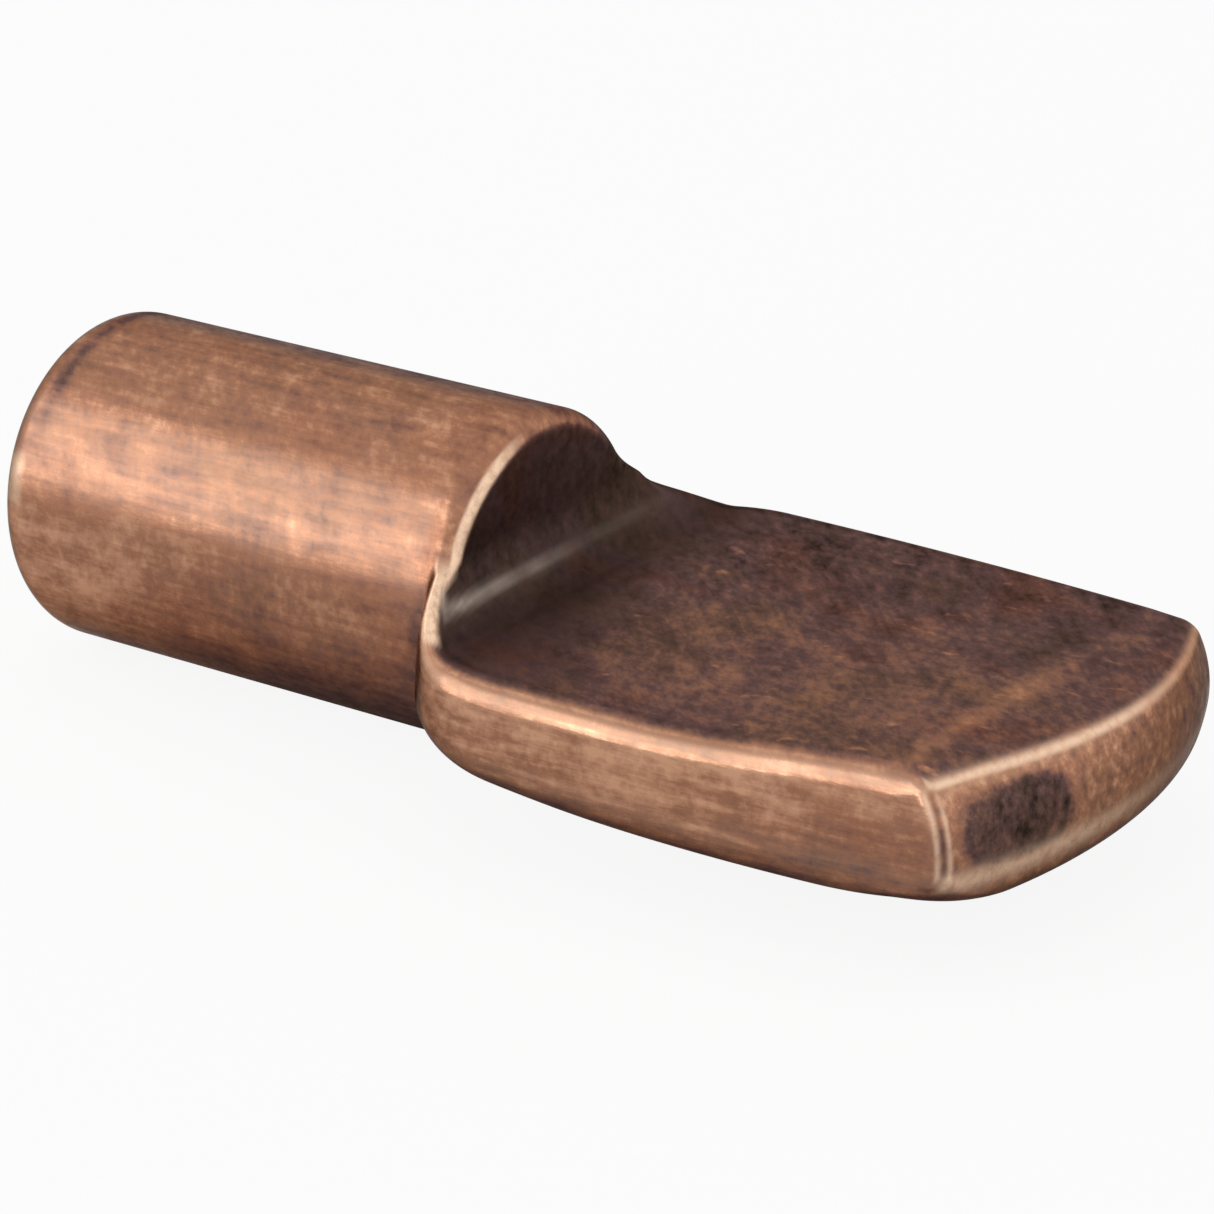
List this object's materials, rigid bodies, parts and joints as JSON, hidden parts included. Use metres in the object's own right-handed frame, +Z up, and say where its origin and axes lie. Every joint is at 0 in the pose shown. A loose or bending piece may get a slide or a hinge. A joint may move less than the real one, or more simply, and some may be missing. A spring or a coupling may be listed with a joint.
{
  "type": "shelf support pin",
  "caption": "Spoon-type shelf support: a round pin pushes into a drilled hole in a cabinet side and a flat pressed paddle beside it carries the shelf, in antique copper.",
  "frame": {"origin": "where the pin's axis meets the plane of the stop shoulders, at the cabinet side's face", "axes": "+X along the pin's axis out of the cabinet side, towards the paddle's tip; +Z up, square to the flat that carries the shelf"},
  "size_m": [0.0177, 0.0082, 0.005],
  "materials": {
    "antique_copper": "steel plated in antique copper, dark in the recesses and worn bright on the edges"
  },
  "bodies": {
    "root": {"shelf_pin": "antique_copper"}
  },
  "joints": []
}
